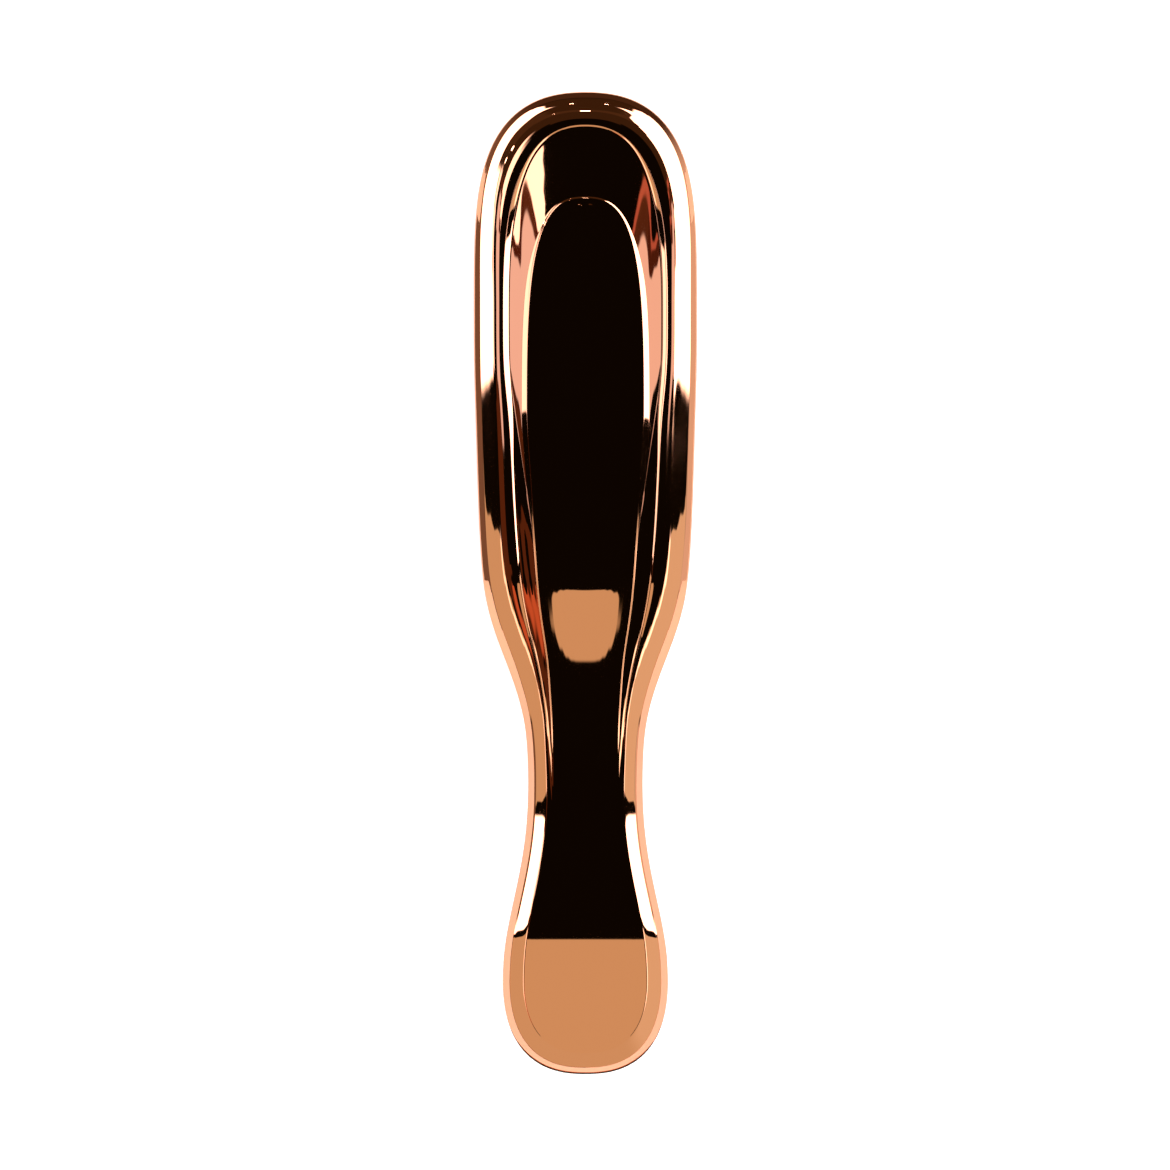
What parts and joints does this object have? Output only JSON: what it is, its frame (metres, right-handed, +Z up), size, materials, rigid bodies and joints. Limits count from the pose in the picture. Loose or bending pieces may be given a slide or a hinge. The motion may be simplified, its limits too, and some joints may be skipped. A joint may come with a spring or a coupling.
{
  "type": "hair brush",
  "caption": "Oval air-cushion hair brush with a mirror-bright rose-gold body, a grooved back and sprung strips of ball-tipped pins.",
  "frame": {"origin": "on the ground under the middle of the brush, where the tips of the middle row of pins touch it", "axes": "+Z up out of the back, +Y to the top of the head, +X to the right as seen from above with the head away from the viewer"},
  "size_m": [0.0522, 0.23, 0.0373],
  "materials": {
    "plated_body": "mirror-bright rose-gold metal plating on moulded plastic",
    "cushion_rubber": "matt black",
    "pin_nylon": "satin black nylon",
    "tray_plastic": "plain black moulding",
    "screw_steel": "bright zinc"
  },
  "bodies": {
    "body": {"back_shell": "plated_body", "front_shell": "plated_body", "cushion_pad": "cushion_rubber", "cushion_tray": "tray_plastic", "tray_screw_1": "screw_steel", "tray_screw_2": "screw_steel", "tray_screw_3": "screw_steel"},
    "row_1": {"pin_row_1": "pin_nylon"},
    "row_2": {"pin_row_2": "pin_nylon"},
    "row_3": {"pin_row_3": "pin_nylon"},
    "row_4": {"pin_row_4": "pin_nylon"},
    "row_5": {"pin_row_5": "pin_nylon"},
    "row_6": {"pin_row_6": "pin_nylon"},
    "row_7": {"pin_row_7": "pin_nylon"}
  },
  "joints": [
    {"name": "cushion_press", "type": "slide", "parent": "body", "child": "row_4", "axis": [0, 0, 1], "range_m": [0, 0.003], "stiffness_N_per_m": 2500, "deforming": ["cushion_pad"]},
    {"name": "row_1_press", "type": "slide", "parent": "body", "child": "row_1", "axis": [0, 0, 1], "range_m": [0, 0.00155]},
    {"name": "row_2_press", "type": "slide", "parent": "body", "child": "row_2", "axis": [0, 0, 1], "range_m": [0, 0.00241]},
    {"name": "row_3_press", "type": "slide", "parent": "body", "child": "row_3", "axis": [0, 0, 1], "range_m": [0, 0.00288]},
    {"name": "row_5_press", "type": "slide", "parent": "body", "child": "row_5", "axis": [0, 0, 1], "range_m": [0, 0.00288]},
    {"name": "row_6_press", "type": "slide", "parent": "body", "child": "row_6", "axis": [0, 0, 1], "range_m": [0, 0.00241]},
    {"name": "row_7_press", "type": "slide", "parent": "body", "child": "row_7", "axis": [0, 0, 1], "range_m": [0, 0.00155]}
  ],
  "couplings": [
    {"joint": "row_1_press", "follows": "cushion_press", "ratio": 0.5146},
    {"joint": "row_2_press", "follows": "cushion_press", "ratio": 0.8011},
    {"joint": "row_3_press", "follows": "cushion_press", "ratio": 0.9567},
    {"joint": "row_5_press", "follows": "cushion_press", "ratio": 0.9567},
    {"joint": "row_6_press", "follows": "cushion_press", "ratio": 0.8011},
    {"joint": "row_7_press", "follows": "cushion_press", "ratio": 0.5146}
  ]
}
